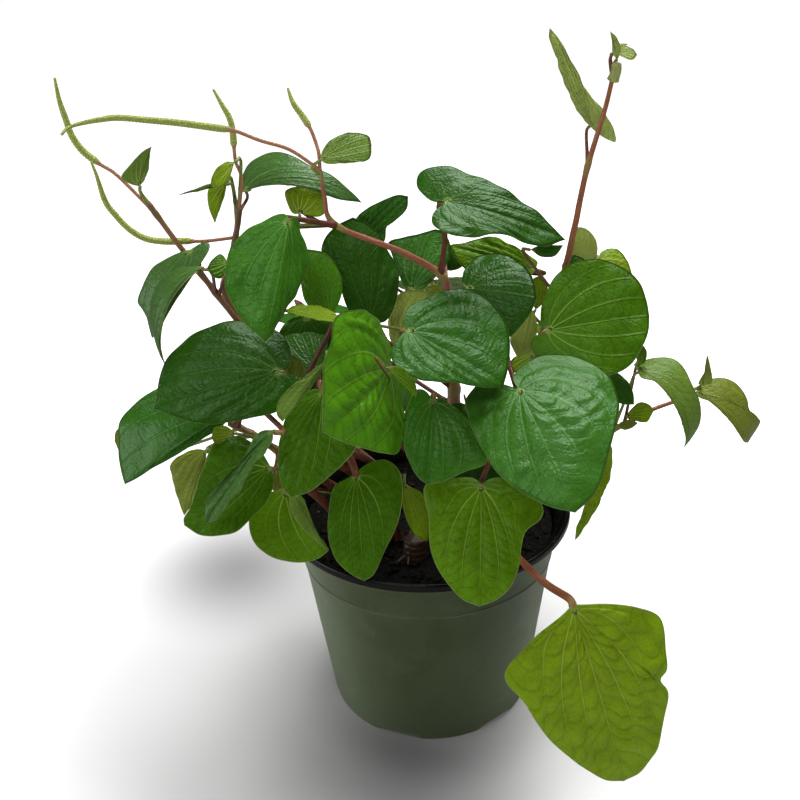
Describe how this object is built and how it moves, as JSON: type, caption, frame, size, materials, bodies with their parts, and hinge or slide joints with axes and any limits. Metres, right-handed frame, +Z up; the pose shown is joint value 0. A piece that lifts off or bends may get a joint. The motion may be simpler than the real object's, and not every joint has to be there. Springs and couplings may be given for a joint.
{
  "type": "potted peperomia plant",
  "caption": "Peperomia house plant with heart-shaped quilted leaves, red-brown stems and thin flower spikes, rooted in soil in a tapered round nursery pot",
  "frame": {"origin": "centre of the pot's underside, on the surface it stands on", "axes": "+Z up along the pot's axis; -Y is the side seen in the source view, with +X to its right"},
  "size_m": [0.3178, 0.2375, 0.35],
  "materials": {
    "pot": "satin dark olive plastic with a glossier black lip",
    "soil": "moist dark potting mix",
    "bark": "dull ringed bark",
    "stem": "smooth satin red-brown stem",
    "flower_spike": "finely beaded yellow-green",
    "leaf_dark": "glossy dark green leaf",
    "leaf_mid": "satin mid green leaf",
    "leaf_lime": "satin yellow-green leaf",
    "leaf_olive": "matte pale underside of a leaf"
  },
  "bodies": {
    "root": {"pot": "pot", "soil": "soil", "stem_stump": "bark", "stem_centre": "stem", "stem_left": "stem", "stem_back_left": "stem", "stem_right_tall": "stem", "stem_right": "stem", "stem_front_left": "stem", "stem_front": "stem", "stem_front_right": "stem", "stem_back": "stem", "flower_spike_left": "flower_spike", "flower_spike_long": "flower_spike", "flower_spike_top": "flower_spike", "flower_spike_slender": "flower_spike", "flower_spike_low": "flower_spike", "leaf_front_large": "leaf_dark", "leaf_centre_top": "leaf_dark", "leaf_centre_low": "leaf_dark", "leaf_over_rim_left": "leaf_dark", "leaf_left_large": "leaf_dark", "leaf_left_low": "leaf_dark", "leaf_hanging_upper_left": "leaf_dark", "leaf_upper_arching": "leaf_dark", "leaf_middle_dark": "leaf_dark", "leaf_behind_stem": "leaf_dark", "leaf_upper_right_broad": "leaf_dark", "leaf_centre_right_folded": "leaf_dark", "leaf_far_left_outer": "leaf_dark", "leaf_far_left_inner": "leaf_dark", "leaf_left_shaded": "leaf_dark", "leaf_back_left": "leaf_dark", "leaf_back_middle": "leaf_dark", "leaf_centre_bright": "leaf_mid", "leaf_over_rim_front": "leaf_mid", "leaf_lower_left_broad": "leaf_mid", "leaf_lower_left_folded": "leaf_mid", "leaf_lower_centre": "leaf_mid", "leaf_top_small": "leaf_mid", "leaf_young_upper_left": "leaf_mid", "leaf_middle_upper": "leaf_mid", "leaf_left_middle": "leaf_mid", "leaf_right_large": "leaf_mid", "leaf_right_arching": "leaf_mid", "leaf_top_tall": "leaf_mid", "leaf_young_left_top": "leaf_mid", "leaf_back_right": "leaf_mid", "leaf_back_low": "leaf_mid", "leaf_hanging": "leaf_lime", "leaf_rim_left_bright": "leaf_lime", "leaf_upper_bright": "leaf_lime", "leaf_left_level": "leaf_lime", "leaf_right_lime": "leaf_lime", "leaf_right_behind": "leaf_lime", "leaf_right_drooping": "leaf_lime", "leaf_lower_left_pale": "leaf_olive", "leaf_middle_pale": "leaf_olive", "leaf_right_end": "leaf_olive", "leaf_inside_rim": "leaf_olive"}
  },
  "joints": []
}
